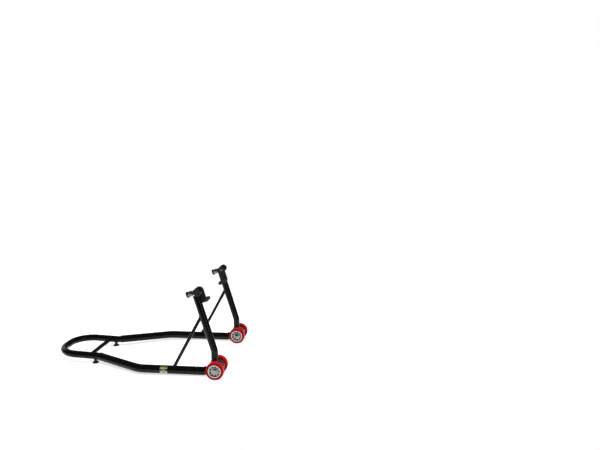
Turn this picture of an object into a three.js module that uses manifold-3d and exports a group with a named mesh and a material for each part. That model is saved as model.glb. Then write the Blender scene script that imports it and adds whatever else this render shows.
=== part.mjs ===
// Rear paddock stand for a motorcycle: a bent tube frame on two pairs of small wheels, with a
// U-shaped lever handle, sliding support arms that carry L brackets, and their locking screws.
//
// Millimetres, +Z up. The design is laid out with X = 0 on the wheel axles, +X towards the front
// of the motorcycle, Y = 0 on its centre plane and Z = 0 on the floor. The last lines move it so
// that its origin is the middle of its footprint.

import * as THREE from "three";
import { mergeVertices } from "three/addons/utils/BufferGeometryUtils.js";
import Module from "manifold-3d";

const wasm = await Module();
wasm.setup();

// ---------------------------------------------------------------- driving dimensions

const GAP = 0.3; // running or fitting gap between neighbouring pieces
const DEG = Math.PI / 180;

// frame tubes: the handle and the uprights fit inside the ends of the two side tubes
const SIDE_TUBE = { radius: 17.1, bore: 15.8, sides: 16, boreSides: 16 };
const UPRIGHT_TUBE = { radius: 14.7, bore: 12.7, endWall: 4, sides: 14, boreSides: 10 };
const HANDLE_TUBE = { radius: 15.1, bore: 13.1, sides: 14, boreSides: 10 };
const CROSS_TUBE = { radius: 9, bore: 7, x: -605 };
const BRACE = { radius: 6.8, foot: [-191, 22], head: [-53.6, 264] };

// side tube: a low run with a flare to the handle; its nose follows the upright's first bend
const TRACK = 212.5; // half the distance between the two low runs
const RUN_FRONT = { x: -8, z: 19.4, nose: 18 * DEG };
const RUN_REAR = { x: -338, z: 24.5, bend: 110 };

// upright: out of the low run's front end, up at the wheels, then leaning to the rear
const UPRIGHT = { insert: 52, bend: 56, leanZ: 109, leanBend: 60, lean: 16.2 * DEG, topZ: 343 };

// handle: a U in a plane that rises gently to the rear
const HANDLE = { half: 107, cornerX: -566, cornerZ: 31.8, bend: 45, rearX: -761, rearBend: 90, rise: 0.058 };
const SOCKET = { start: 13, depth: 55 }; // handle end inside the side tube

// feet under the handle
const FOOT = { x: -580, stem: 6.5, stemFoot: 3, pad: 13.5, padHeight: 8 };

// wheels, two on each axle with the tube between them
const WHEEL = { radius: 37.5, width: 25, hub: 27, outer: 247.5, inner: 177.5, segments: 24 };
const HUB_HOLES = { count: 9, circle: 18.3, radius: 3.1 };
const BEARING = { radius: 12, bore: 6.5, width: 6, face: 8 };
const AXLE = { radius: 6, boss: 12, bossHalf: 19, flange: 11, headFlats: 18, headHeight: 5.5 };

// support arm at the top of each upright
const SLEEVE = { x: -68, z: 361, radius: 16, bore: 9.4, outer: 230, inner: 193 };
const ARM = { radius: 9, outer: 226.5, inner: 187.8 };

// L bracket, leaning with the upright; dx and dz run from the arm to the middle of its round top
const BRACKET = { outer: 187.5, inner: 130, thick: 6, half: 14, dx: -2, dz: -4, legDrop: 50 };
const BOOT_WALL = 3; // rubber skin all round the bracket plate

// locking screw: it points rearward and down, into the side of the sleeve
const LOCK = { slope: 21 * DEG, y: 206, thread: 5, nutFlats: 17, nutHeight: 9 };

const LABEL = { front: -208, rear: -242, skin: 0.35 };

// ---------------------------------------------------------------- finishes

const finish = (color, roughness, metalness) => ({ color, roughness, metalness });
const BLACK_PAINT = finish(0x111214, 0.36, 0.3);
const BLACK_RUBBER = finish(0x161616, 0.85, 0);
const BLACK_PLASTIC = finish(0x141414, 0.5, 0);
const RED_TYRE = finish(0xc8161f, 0.42, 0);
const ALUMINIUM = finish(0xb9bdb8, 0.35, 0.9);
const ZINC = finish(0xbbb2a6, 0.32, 0.95);
const STEEL = finish(0x9a9ca0, 0.3, 1);
const BRASS = finish(0xb9924a, 0.35, 1);
const LABEL_FILM = finish(0xcbc98f, 0.45, 0.1);

// ---------------------------------------------------------------- shape helpers

const v3 = (x, y, z) => new THREE.Vector3(x, y, z);
const UP = v3(0, 1, 0);

// A closed three.js geometry as a manifold solid, and back.
function toSolid(geometry) {
  const plain = geometry.clone();
  plain.deleteAttribute("normal");
  plain.deleteAttribute("uv");
  const merged = mergeVertices(plain, 1e-4);
  const mesh = new wasm.Mesh({
    numProp: 3,
    vertProperties: new Float32Array(merged.attributes.position.array),
    triVerts: new Uint32Array(merged.index.array),
  });
  return new wasm.Manifold(mesh);
}

function toGeometry(solid) {
  const { vertProperties, triVerts } = solid.getMesh();
  const geometry = new THREE.BufferGeometry();
  geometry.setAttribute("position", new THREE.BufferAttribute(vertProperties, 3));
  geometry.setIndex(new THREE.BufferAttribute(triVerts, 1));
  geometry.computeVertexNormals();
  return geometry;
}

function join(...geometries) {
  return toGeometry(geometries.map(toSolid).reduce((whole, piece) => whole.add(piece)));
}

function cut(geometry, ...tools) {
  return toGeometry(tools.map(toSolid).reduce((left, tool) => left.subtract(tool), toSolid(geometry)));
}

// A solid of revolution: profile points are [radius, height] along +Y.
function turned(profile, segments = 24) {
  return new THREE.LatheGeometry(profile.map(([r, h]) => new THREE.Vector2(r, h)), segments);
}

// A plain rod or drill of revolution about +Y, from one height to another.
function rod(radius, from, to, segments = 16) {
  return turned([[0, from], [radius, from], [radius, to], [0, to]], segments);
}

// A ring of revolution about +Y.
function ring(inner, outer, from, to, segments = 24) {
  return turned([[inner, from], [outer, from], [outer, to], [inner, to], [inner, from]], segments);
}

function hexagon(acrossFlats, from, to) {
  const corner = acrossFlats / Math.sqrt(3);
  const prism = new THREE.CylinderGeometry(corner, corner, to - from, 6);
  return prism.translate(0, (from + to) / 2, 0);
}

// Turns geometry made about +Y to run along a direction from a point.
function aim(geometry, point, direction) {
  const turn = new THREE.Quaternion().setFromUnitVectors(UP, direction.clone().normalize());
  return geometry.applyQuaternion(turn).translate(point.x, point.y, point.z);
}

// The centreline of a bent tube: straight runs with an arc at each inner corner. It gives its
// stations as they are, so straights take one step and arcs a few.
class Centreline extends THREE.Curve {
  constructor(corners, arcStep = 13 * DEG) {
    super();
    this.stations = [];
    corners.forEach(({ at, bend }, i) => {
      const before = corners[i - 1]?.at;
      const after = corners[i + 1]?.at;
      const into = before && at.clone().sub(before).normalize();
      const out = after && after.clone().sub(at).normalize();
      if (!into || !out) this.stations.push({ point: at, tangent: into ?? out });
      else this.addArc(at, bend, into, out, arcStep);
    });
  }

  addArc(corner, bend, into, out, arcStep) {
    const angle = into.angleTo(out);
    const axis = into.clone().cross(out).normalize();
    const start = corner.clone().addScaledVector(into, -bend * Math.tan(angle / 2));
    const centre = start.clone().addScaledVector(axis.clone().cross(into), bend);
    const steps = Math.ceil(angle / arcStep);
    for (let i = 0; i <= steps; i++) {
      const turn = (angle * i) / steps;
      const spoke = start.clone().sub(centre).applyAxisAngle(axis, turn);
      const tangent = into.clone().applyAxisAngle(axis, turn);
      this.stations.push({ point: centre.clone().add(spoke), tangent });
    }
  }

  get steps() {
    return this.stations.length - 1;
  }

  getPoint(t) {
    return this.stations[Math.round(t * this.steps)].point.clone();
  }

  getSpacedPoints() {
    return this.stations.map(({ point }) => point.clone());
  }

  getTangentAt(t) {
    return this.stations[Math.round(t * this.steps)].tangent.clone();
  }
}

function sweep(radius, sides, centreline) {
  const section = new THREE.Shape();
  for (let i = 0; i < sides; i++) {
    const angle = (2 * Math.PI * i) / sides;
    const corner = [radius * Math.cos(angle), radius * Math.sin(angle)];
    if (i === 0) section.moveTo(...corner);
    else section.lineTo(...corner);
  }
  const options = { steps: centreline.steps, extrudePath: centreline, bevelEnabled: false };
  return new THREE.ExtrudeGeometry(section, options);
}

// ---------------------------------------------------------------- building the scene graph

const stand = new THREE.Group();

function mesh(name, geometry, { color, roughness, metalness }) {
  const piece = new THREE.Mesh(geometry, new THREE.MeshStandardMaterial({ color, roughness, metalness }));
  piece.name = name;
  return piece;
}

function add(name, geometry, look, parent = stand) {
  parent.add(mesh(name, geometry, look));
}

// ---------------------------------------------------------------- frame routes

// Points of one side of the frame. side is -1 on the right and +1 on the left.
const runFront = (side) => v3(RUN_FRONT.x, side * TRACK, RUN_FRONT.z);
const runRear = (side) => v3(RUN_REAR.x, side * TRACK, RUN_REAR.z);
const handleCorner = (side) => v3(HANDLE.cornerX, side * HANDLE.half, HANDLE.cornerZ);
const flareWay = (side) => runRear(side).sub(handleCorner(side)).normalize();
const flarePoint = (side, distance) => handleCorner(side).addScaledVector(flareWay(side), distance);
const handleHeight = (x) => HANDLE.cornerZ + HANDLE.rise * (HANDLE.cornerX - x);

// A point of the low run's straight centreline, by its X.
function runPoint(side, x) {
  const way = runFront(side).sub(runRear(side));
  return runRear(side).addScaledVector(way, (x - RUN_REAR.x) / way.x);
}

const bendStartX = RUN_FRONT.x - UPRIGHT.bend; // where the upright leaves the low run's line

function sideRoute(side, endTrim = 0) {
  const reach = UPRIGHT.bend * Math.tan(RUN_FRONT.nose / 2);
  const noseCorner = runPoint(side, bendStartX + reach);
  const noseWay = v3(Math.cos(RUN_FRONT.nose), 0, Math.sin(RUN_FRONT.nose));
  return new Centreline([
    { at: flarePoint(side, SOCKET.start - endTrim) },
    { at: runRear(side), bend: RUN_REAR.bend },
    { at: noseCorner, bend: UPRIGHT.bend },
    { at: noseCorner.clone().addScaledVector(noseWay, reach + 1 + endTrim) },
  ]);
}

function uprightRoute(side, { footTrim = 0, topTrim = 0 } = {}) {
  const leanAt = v3(RUN_FRONT.x, side * TRACK, UPRIGHT.leanZ);
  const leanWay = v3(-Math.sin(UPRIGHT.lean), 0, Math.cos(UPRIGHT.lean));
  const length = (UPRIGHT.topZ - UPRIGHT.leanZ) / Math.cos(UPRIGHT.lean) - topTrim;
  return new Centreline([
    { at: runPoint(side, bendStartX - UPRIGHT.insert - footTrim) },
    { at: runFront(side), bend: UPRIGHT.bend },
    { at: leanAt, bend: UPRIGHT.leanBend },
    { at: leanAt.clone().addScaledVector(leanWay, length) },
  ]);
}

function handleRoute(endTrim = 0) {
  const insertEnd = SOCKET.start + SOCKET.depth + endTrim;
  const rear = (side) => v3(HANDLE.rearX, side * HANDLE.half, handleHeight(HANDLE.rearX));
  return new Centreline([
    { at: flarePoint(-1, insertEnd) },
    { at: handleCorner(-1), bend: HANDLE.bend },
    { at: rear(-1), bend: HANDLE.rearBend },
    { at: rear(1), bend: HANDLE.rearBend },
    { at: handleCorner(1), bend: HANDLE.bend },
    { at: flarePoint(1, insertEnd) },
  ]);
}

// ---------------------------------------------------------------- frame pieces

const envelope = ({ radius, sides }, route) => sweep(radius + GAP, sides, route);
const handleEnvelope = () => envelope(HANDLE_TUBE, handleRoute());

function sideTube(side) {
  const outside = sweep(SIDE_TUBE.radius, SIDE_TUBE.sides, sideRoute(side));
  return cut(outside, sweep(SIDE_TUBE.bore, SIDE_TUBE.boreSides, sideRoute(side, 2)));
}

// The upright is open at its foot and closed at its top; it is notched for the axle boss and sleeve.
function upright(side) {
  const { radius, bore, endWall, sides, boreSides } = UPRIGHT_TUBE;
  const outside = sweep(radius, sides, uprightRoute(side));
  const insideRoute = uprightRoute(side, { footTrim: 2, topTrim: endWall + 8 });
  const boss = rod(AXLE.boss + GAP, -40, 40, 24).translate(0, side * TRACK, WHEEL.radius);
  const sleeveRoom = rod(SLEEVE.radius + GAP, -40, 40, 24).translate(SLEEVE.x, side * TRACK, SLEEVE.z);
  return cut(outside, sweep(bore, boreSides, insideRoute), boss, sleeveRoom);
}

function handleTube() {
  const outside = sweep(HANDLE_TUBE.radius, HANDLE_TUBE.sides, handleRoute());
  return cut(outside, sweep(HANDLE_TUBE.bore, HANDLE_TUBE.boreSides, handleRoute(2)));
}

function crossTube() {
  const tube = ring(CROSS_TUBE.bore, CROSS_TUBE.radius, -HANDLE.half, HANDLE.half, 16);
  return cut(tube.translate(CROSS_TUBE.x, 0, handleHeight(CROSS_TUBE.x)), handleEnvelope());
}

function brace(side) {
  const foot = v3(BRACE.foot[0], side * TRACK, BRACE.foot[1]);
  const head = v3(BRACE.head[0], side * TRACK, BRACE.head[1]);
  const along = head.clone().sub(foot);
  const bar = aim(rod(BRACE.radius, 0, along.length(), 12), foot, along);
  return cut(bar, envelope(SIDE_TUBE, sideRoute(side)), envelope(UPRIGHT_TUBE, uprightRoute(side)));
}

function footStem(side) {
  const at = v3(FOOT.x, side * HANDLE.half, 0);
  const stem = rod(FOOT.stem, FOOT.stemFoot, handleHeight(FOOT.x), 16);
  return cut(aim(stem, at, v3(0, 0, 1)), handleEnvelope());
}

function footPad(side) {
  const hole = FOOT.stem + GAP;
  const floor = FOOT.stemFoot - GAP;
  const top = FOOT.padHeight;
  const pad = turned([
    [0, 0], [FOOT.pad - 1.2, 0], [FOOT.pad, 1.4], [FOOT.pad, 3.4], [FOOT.pad - 2.2, 5.6],
    [hole + 2.2, top], [hole, top], [hole, floor], [0, floor],
  ], 16);
  return aim(pad, v3(FOOT.x, side * HANDLE.half, 0), v3(0, 0, 1));
}

function labelBand() {
  const rear = runPoint(-1, LABEL.rear);
  const along = runPoint(-1, LABEL.front).sub(rear);
  const inner = SIDE_TUBE.radius + GAP;
  return aim(ring(inner, inner + LABEL.skin, 0, along.length(), 18), rear, along);
}

for (const [name, side] of [["right", -1], ["left", 1]]) {
  add(`side_tube_${name}`, sideTube(side), BLACK_PAINT);
  add(`upright_${name}`, upright(side), BLACK_PAINT);
  add(`brace_${name}`, brace(side), BLACK_PAINT);
  add(`foot_stem_${name}`, footStem(side), BLACK_PAINT);
  add(`foot_pad_${name}`, footPad(side), BLACK_RUBBER);
}
add("handle_tube", handleTube(), BLACK_PAINT);
add("cross_tube", crossTube(), BLACK_PAINT);
add("label_band", labelBand(), LABEL_FILM);

// ---------------------------------------------------------------- wheels and axles

function tyre() {
  const half = WHEEL.width / 2;
  const inner = WHEEL.hub + GAP;
  return turned([
    [inner, -half + 0.5], [34.2, -half], [36.6, -half + 1.6], [WHEEL.radius, -half + 4.5],
    [WHEEL.radius, half - 4.5], [36.6, half - 1.6], [34.2, half], [inner, half - 0.5],
    [inner, -half + 0.5],
  ], WHEEL.segments);
}

// Rim, drilled web, and a boss bored right through for the two bearings.
function hub() {
  const half = WHEEL.width / 2 - 0.5;
  const seat = BEARING.radius + 0.4;
  const face = BEARING.face;
  const web = 6.5;
  const body = turned([
    [seat, -face], [14.3, -face], [15, -web], [21.8, -web], [22.8, -half], [WHEEL.hub, -half],
    [WHEEL.hub, half], [22.8, half], [21.8, web], [15, web], [14.3, face], [seat, face],
    [seat, -face],
  ], WHEEL.segments);
  const holes = Array.from({ length: HUB_HOLES.count }, (_, i) => {
    const angle = (2 * Math.PI * i) / HUB_HOLES.count;
    const hole = rod(HUB_HOLES.radius, -WHEEL.width, WHEEL.width, 8);
    return hole.translate(HUB_HOLES.circle * Math.cos(angle), 0, HUB_HOLES.circle * Math.sin(angle));
  });
  return cut(body, ...holes);
}

function bearing() {
  return ring(BEARING.bore, BEARING.radius, -BEARING.width / 2, BEARING.width / 2, 14);
}

// Bolt along the axle, its head outside; heights are distances from the centre plane.
function axleBolt() {
  const headFace = WHEEL.outer + BEARING.face + GAP;
  const tip = WHEEL.inner - BEARING.face - 13;
  const shank = turned([
    [0, tip], [AXLE.radius - 1, tip], [AXLE.radius, tip + 1], [AXLE.radius, headFace],
    [AXLE.flange, headFace], [AXLE.flange - 0.8, headFace + 1.8], [0, headFace + 1.8],
  ], 16);
  const head = hexagon(AXLE.headFlats, headFace + 0.9, headFace + 1.8 + AXLE.headHeight);
  return join(shank, head);
}

function axleNut() {
  const face = WHEEL.inner - BEARING.face - GAP;
  const bore = rod(AXLE.radius + 0.4, 0, WHEEL.inner, 16);
  const collar = rod(8, face - 11.5, face - 7, 16);
  return cut(join(hexagon(AXLE.headFlats, face - 9, face), collar), bore);
}

// The spacers stand between the wheel bearings and the welded boss.
function spacer(wheelY, towardsBoss) {
  const bearingFace = wheelY + towardsBoss * (BEARING.face + GAP);
  const bossFace = TRACK - towardsBoss * (AXLE.bossHalf + GAP);
  return ring(BEARING.bore, 8.5, Math.min(bearingFace, bossFace), Math.max(bearingFace, bossFace), 16);
}

function onAxle(geometry, side) {
  return aim(geometry, v3(0, 0, WHEEL.radius), v3(0, side, 0));
}

for (const [name, side] of [["right", -1], ["left", 1]]) {
  const boss = ring(BEARING.bore, AXLE.boss, TRACK - AXLE.bossHalf, TRACK + AXLE.bossHalf, 24);
  add(`axle_boss_${name}`, onAxle(boss, side), BLACK_PAINT);
  add(`axle_bolt_${name}`, onAxle(axleBolt(), side), ZINC);
  add(`axle_nut_${name}`, onAxle(axleNut(), side), ZINC);
  add(`axle_spacer_${name}_outer`, onAxle(spacer(WHEEL.outer, -1), side), ZINC);
  add(`axle_spacer_${name}_inner`, onAxle(spacer(WHEEL.inner, 1), side), ZINC);
  for (const place of ["outer", "inner"]) {
    const wheel = new THREE.Group();
    wheel.position.set(0, side * WHEEL[place], WHEEL.radius);
    add(`tyre_${name}_${place}`, tyre(), RED_TYRE, wheel);
    add(`hub_${name}_${place}`, hub(), ALUMINIUM, wheel);
    for (const [letter, way] of [["a", -1], ["b", 1]]) {
      const seat = way * (BEARING.face - BEARING.width / 2);
      add(`bearing_${name}_${place}_${letter}`, bearing().translate(0, seat, 0), STEEL, wheel);
    }
    stand.add(wheel);
  }
}

// ---------------------------------------------------------------- support arms

// Pieces of a bracket are laid out about the arm's own axis, upright, and then leaned together.
const sleeveLine = (side) => [v3(SLEEVE.x, 0, SLEEVE.z), v3(0, side, 0)];
const armLine = (side) => [v3(0, 0, 0), v3(0, side, 0)];
const lockWay = v3(-Math.cos(LOCK.slope), 0, -Math.sin(LOCK.slope));
const lockOrigin = (side) => v3(SLEEVE.x, side * LOCK.y, SLEEVE.z);

function sleeve(side) {
  const tube = aim(ring(SLEEVE.bore, SLEEVE.radius, SLEEVE.inner, SLEEVE.outer, 24), ...sleeveLine(side));
  const hole = aim(rod(LOCK.thread + 0.4, 0, SLEEVE.radius + 4, 12), lockOrigin(side), lockWay);
  return cut(tube, hole);
}

function sleevePlug(side) {
  const face = SLEEVE.outer + GAP;
  const stub = SLEEVE.bore - 0.7;
  const plug = turned([
    [0, face - 3], [stub, face - 3], [stub, face], [SLEEVE.radius, face],
    [SLEEVE.radius, face + 1.2], [SLEEVE.radius - 1.6, face + 2.6], [0, face + 2.6],
  ], 18);
  return aim(plug, ...sleeveLine(side));
}

// Plate outline with a round top, as seen along the axle: centre of the round top, half width, foot.
function lipShape(centreX, centreZ, half, footZ) {
  const shape = new THREE.Shape();
  shape.moveTo(centreX - half, footZ);
  shape.lineTo(centreX + half, footZ);
  shape.lineTo(centreX + half, centreZ);
  const steps = 12;
  for (let i = 1; i <= steps; i++) {
    const angle = (Math.PI * i) / steps;
    shape.lineTo(centreX + half * Math.cos(angle), centreZ + half * Math.sin(angle));
  }
  return shape;
}

// The L of a bracket, grown by a skin: a round-topped lip with a leg that points inboard.
function bracketL(side, skin) {
  const half = BRACKET.half + skin;
  const footZ = -BRACKET.legDrop - BRACKET.thick - skin;
  const thick = BRACKET.thick + 2 * skin;
  const outerY = BRACKET.outer + skin;
  const shape = lipShape(BRACKET.dx, BRACKET.dz, half, footZ);
  const lip = new THREE.ExtrudeGeometry(shape, { depth: thick, bevelEnabled: false });
  lip.applyMatrix4(new THREE.Matrix4().makeBasis(v3(1, 0, 0), v3(0, 0, 1), v3(0, -1, 0)));
  lip.translate(0, side < 0 ? thick - outerY : outerY, 0);
  const legLength = outerY - BRACKET.inner + skin;
  const leg = new THREE.BoxGeometry(2 * half, legLength, thick);
  leg.translate(BRACKET.dx, side * (outerY - legLength / 2), footZ + thick / 2);
  return join(lip, leg);
}

function bracketPlate(side) {
  return cut(bracketL(side, 0), aim(rod(4.4, 150, 220, 12), ...armLine(side)));
}

// Rubber boot pulled over the plate; it is open round the arm and round the pivot bolt.
function bracketBoot(side) {
  const outerWindow = rod(ARM.radius + 2.4, BRACKET.outer - 1, 220, 16);
  const windows = join(outerWindow, rod(8.2, 150, BRACKET.outer - 1, 16));
  return cut(bracketL(side, BOOT_WALL), bracketL(side, GAP), aim(windows, ...armLine(side)));
}

function armRod(side) {
  const bar = turned([
    [0, ARM.inner], [ARM.radius, ARM.inner], [ARM.radius, ARM.outer - 1.2],
    [ARM.radius - 1.2, ARM.outer], [0, ARM.outer],
  ], 20);
  const tapping = rod(4.4, ARM.inner - 1, ARM.inner + 18, 12);
  return aim(cut(bar, tapping), ...sleeveLine(side));
}

function bracketBolt(side) {
  const seat = BRACKET.outer - BRACKET.thick - GAP;
  const bolt = turned([
    [0, seat - 3], [4.6, seat - 3], [6.8, seat - 1.2], [6.8, seat], [4, seat],
    [4, ARM.inner + 16], [0, ARM.inner + 16],
  ], 14);
  return aim(bolt, ...armLine(side));
}

// Locking screw and its fittings, along the screw from the arm outwards.
const LOCK_AT = {
  tipStart: ARM.radius + GAP,
  tipEnd: ARM.radius + GAP + 2.2,
  nutStart: SLEEVE.radius + GAP,
  headStart: SLEEVE.radius + GAP + LOCK.nutHeight + 1.2,
  headEnd: 46.5,
  studEnd: 49.5,
  capEnd: 52,
};

function lockNut(side) {
  const nut = hexagon(LOCK.nutFlats, SLEEVE.radius - 2, LOCK_AT.nutStart + LOCK.nutHeight);
  const bore = rod(LOCK.thread + 0.4, 0, 60, 12);
  const sleeveRoom = aim(rod(SLEEVE.radius + GAP, 150, 260, 24), ...sleeveLine(side));
  return cut(aim(cut(nut, bore), lockOrigin(side), lockWay), sleeveRoom);
}

function lockTip(side) {
  return aim(rod(LOCK.thread - 0.8, LOCK_AT.tipStart, LOCK_AT.tipEnd, 12), lockOrigin(side), lockWay);
}

function lockScrew(side) {
  const { tipEnd, headStart, headEnd, studEnd } = LOCK_AT;
  const screw = turned([
    [0, tipEnd + GAP], [LOCK.thread, tipEnd + GAP], [LOCK.thread, headStart], [9, headStart],
    [11.6, headStart + 2], [11.6, headEnd - 1], [10.6, headEnd], [5, headEnd], [5, studEnd],
    [0, studEnd],
  ], 14);
  return aim(screw, lockOrigin(side), lockWay);
}

function lockKnob(side) {
  const start = LOCK_AT.headEnd + GAP;
  const end = LOCK_AT.capEnd;
  const hollow = LOCK_AT.studEnd + GAP;
  const knob = turned([
    [5.4, start], [13.2, start], [13.8, start + 1], [13.8, end - 1.6], [12.4, end], [0, end],
    [0, hollow], [5.4, hollow], [5.4, start],
  ], 16);
  return aim(knob, lockOrigin(side), lockWay);
}

for (const [name, side] of [["right", -1], ["left", 1]]) {
  add(`arm_sleeve_${name}`, sleeve(side), BLACK_PAINT);
  add(`sleeve_plug_${name}`, sleevePlug(side), BLACK_PLASTIC);
  add(`arm_rod_${name}`, armRod(side), STEEL);
  const bracket = new THREE.Group();
  bracket.position.set(SLEEVE.x, 0, SLEEVE.z);
  bracket.rotation.y = -UPRIGHT.lean;
  add(`bracket_plate_${name}`, bracketPlate(side), BLACK_PAINT, bracket);
  add(`bracket_boot_${name}`, bracketBoot(side), BLACK_RUBBER, bracket);
  add(`bracket_bolt_${name}`, bracketBolt(side), ZINC, bracket);
  stand.add(bracket);
  add(`lock_nut_${name}`, lockNut(side), ZINC);
  add(`lock_tip_${name}`, lockTip(side), BRASS);
  add(`lock_screw_${name}`, lockScrew(side), ZINC);
  add(`lock_knob_${name}`, lockKnob(side), BLACK_PLASTIC);
}

// ---------------------------------------------------------------- origin: middle of the footprint

const box = new THREE.Box3().setFromObject(stand, true);
const middle = box.getCenter(v3(0, 0, 0));
stand.position.set(-middle.x, -middle.y, -box.min.z);

const group = new THREE.Group();
group.add(stand);
export default group;
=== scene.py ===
"""Paddock stand: the visual model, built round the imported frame, with its studio and camera."""

from math import ceil, cos, pi, radians, sin, sqrt, tan

import bmesh
import bpy
from mathutils import Matrix, Quaternion, Vector
from mathutils.bvhtree import BVHTree
from mathutils.noise import noise


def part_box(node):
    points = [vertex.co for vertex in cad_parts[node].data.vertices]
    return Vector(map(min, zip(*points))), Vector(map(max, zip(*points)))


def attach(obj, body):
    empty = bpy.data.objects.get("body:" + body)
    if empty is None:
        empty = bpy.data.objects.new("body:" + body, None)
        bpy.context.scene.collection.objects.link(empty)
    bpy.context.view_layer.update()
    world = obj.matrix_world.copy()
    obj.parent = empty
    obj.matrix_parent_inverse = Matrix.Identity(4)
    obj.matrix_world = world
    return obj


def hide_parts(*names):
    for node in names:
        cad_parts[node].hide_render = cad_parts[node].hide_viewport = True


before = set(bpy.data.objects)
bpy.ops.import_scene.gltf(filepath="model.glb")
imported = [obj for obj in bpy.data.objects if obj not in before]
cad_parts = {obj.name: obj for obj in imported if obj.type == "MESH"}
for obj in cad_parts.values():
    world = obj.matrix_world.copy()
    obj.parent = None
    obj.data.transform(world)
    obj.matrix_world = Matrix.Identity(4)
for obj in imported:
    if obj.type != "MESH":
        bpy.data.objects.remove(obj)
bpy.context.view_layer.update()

# Shapes are laid out in millimetres, as the frame's design is: X from the wheel axles, Z from the floor.
MM = 0.001
SIDES = {"right": -1, "left": 1}

GAP = 0.3
SIDE_TUBE = {"radius": 17.1, "bore": 15.8, "sides": 72}
UPRIGHT_TUBE = {"radius": 14.7, "bore": 12.7, "sides": 64, "end_wall": 4}
HANDLE_TUBE = {"radius": 15.1, "bore": 13.1, "sides": 64}
CROSS_TUBE = {"radius": 9, "bore": 7, "x": -605}
BRACE = {"radius": 6.8, "foot": (-191, 22), "head": (-53.6, 264)}
TRACK = 212.5
RUN_FRONT = {"x": -8, "z": 19.4, "nose": radians(18)}
RUN_REAR = {"x": -338, "z": 24.5, "bend": 110}
UPRIGHT = {"insert": 52, "bend": 56, "lean_z": 109, "lean_bend": 60, "lean": radians(16.2), "top_z": 343}
HANDLE = {
    "half": 107, "corner_x": -566, "corner_z": 31.8, "bend": 45, "rise": 0.058,
    "rear_x": -760.7, "rear_bend": 90,
}
SOCKET = {"start": 13, "depth": 55}
AXLE = {"boss": 12, "bore": 6.5, "flats": 18, "head": 7.3}
SLEEVE = {"radius": 16, "bore": 9.4}
WELD_BEAD = {"pitch": 2.4, "step": 0.5, "sides": 12}
HEX_FACE = 0.485  # radius of a hexagon's round end face, as a share of its width across the flats
BEND_START_X = RUN_FRONT["x"] - UPRIGHT["bend"]

AXIS_Y = Vector((0, 1, 0))
AXIS_Z = Vector((0, 0, 1))
axle_low, axle_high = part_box("axle_boss_right")
AXLE_X = (axle_low.x + axle_high.x) / 2
TO_FRAME = Matrix.Translation((AXLE_X, 0, 0)) @ Matrix.Scale(MM, 4)
FROM_FRAME = TO_FRAME.inverted()


def node_box(node):
    """Lowest and highest corner of a CAD node, in the design's millimetres."""
    low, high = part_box(node)
    return FROM_FRAME @ low, FROM_FRAME @ high


def middle(node):
    low, high = node_box(node)
    return (low + high) / 2


def span(node):
    """A CAD node's nearest and farthest distance from the stand's middle plane."""
    low, high = node_box(node)
    return sorted((abs(low.y), abs(high.y)))


# ------------------------------------------------------------------ materials


class Nodes:
    """A short way to write one material's node tree."""

    def __init__(self, name):
        self.material = bpy.data.materials.new(name)
        self.material.use_nodes = True
        self.tree = self.material.node_tree
        self.shader = self.tree.nodes["Principled BSDF"]
        self.place = self.tree.nodes.new("ShaderNodeTexCoord").outputs

    def set(self, **values):
        for name, value in values.items():
            self.shader.inputs[name.replace("_", " ")].default_value = value
        return self

    def link(self, source, target):
        self.tree.links.new(source, target)

    def add(self, kind, out=0, inputs=(), **settings):
        node = self.tree.nodes.new(kind)
        for name, value in settings.items():
            setattr(node, name, value)
        for key, value in dict(inputs).items():
            if isinstance(value, bpy.types.NodeSocket):
                self.link(value, node.inputs[key])
            else:
                node.inputs[key].default_value = value
        return node.outputs[out]

    def noise(self, scale, detail=3, vector=None):
        where = self.place["Object"] if vector is None else vector
        inputs = {"Vector": where, "Scale": scale, "Detail": detail, "Roughness": 0.55}
        return self.add("ShaderNodeTexNoise", "Fac", inputs)

    def stretched(self, scale):
        """Object coordinates scaled by a different amount along each axis."""
        return self.add("ShaderNodeMapping", 0, {"Vector": self.place["Object"], "Scale": scale})

    def math(self, operation, a, b=0.0):
        return self.add("ShaderNodeMath", 0, {0: a, 1: b}, operation=operation)

    def ramp(self, value, low, high, start=0.0, end=1.0):
        inputs = {"Value": value, "From Min": start, "From Max": end, "To Min": low, "To Max": high}
        return self.add("ShaderNodeMapRange", "Result", inputs)

    def mix(self, amount, a, b):
        """A colour mix; the amount is a socket, and a and b are sockets or (r, g, b)."""
        node = self.tree.nodes.new("ShaderNodeMix")
        node.data_type = "RGBA"
        for key, value in (("Factor", amount), ("A", a), ("B", b)):
            socket = [s for s in node.inputs if s.name == key and s.enabled][0]
            if isinstance(value, bpy.types.NodeSocket):
                self.link(value, socket)
            else:
                socket.default_value = (*value, 1)
        return [s for s in node.outputs if s.enabled][0]

    def bump(self, height, distance, strength, after=None):
        inputs = {"Height": height, "Distance": distance, "Strength": strength}
        if after is not None:
            inputs["Normal"] = after
        return self.add("ShaderNodeBump", 0, inputs)

    def radial(self):
        """Distance from the object's own middle in its XZ plane: 0 at the axle, 1 at the rim."""
        centred = self.add("ShaderNodeVectorMath", 0, {0: self.place["Generated"], 1: (-0.5, 0, -0.5)})
        flat = self.add("ShaderNodeVectorMath", 0, {0: centred, 1: (2, 0, 2)}, operation="MULTIPLY")
        return self.add("ShaderNodeVectorMath", "Value", {0: flat}, operation="LENGTH")

    def tilt(self):
        """1 on surfaces that face up, -1 on those that face down."""
        normal = self.add("ShaderNodeNewGeometry", "Normal")
        return self.add("ShaderNodeSeparateXYZ", "Z", {0: normal})

    def upward(self):
        """1 on surfaces that face up, where dust settles."""
        return self.ramp(self.tilt(), 0, 1, 0.55, 1)

    def finish(self, colour, roughness, normal=None):
        for name, value in (("Base Color", colour), ("Roughness", roughness), ("Normal", normal)):
            if value is not None:
                self.link(value, self.shader.inputs[name])
        return self.material


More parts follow.
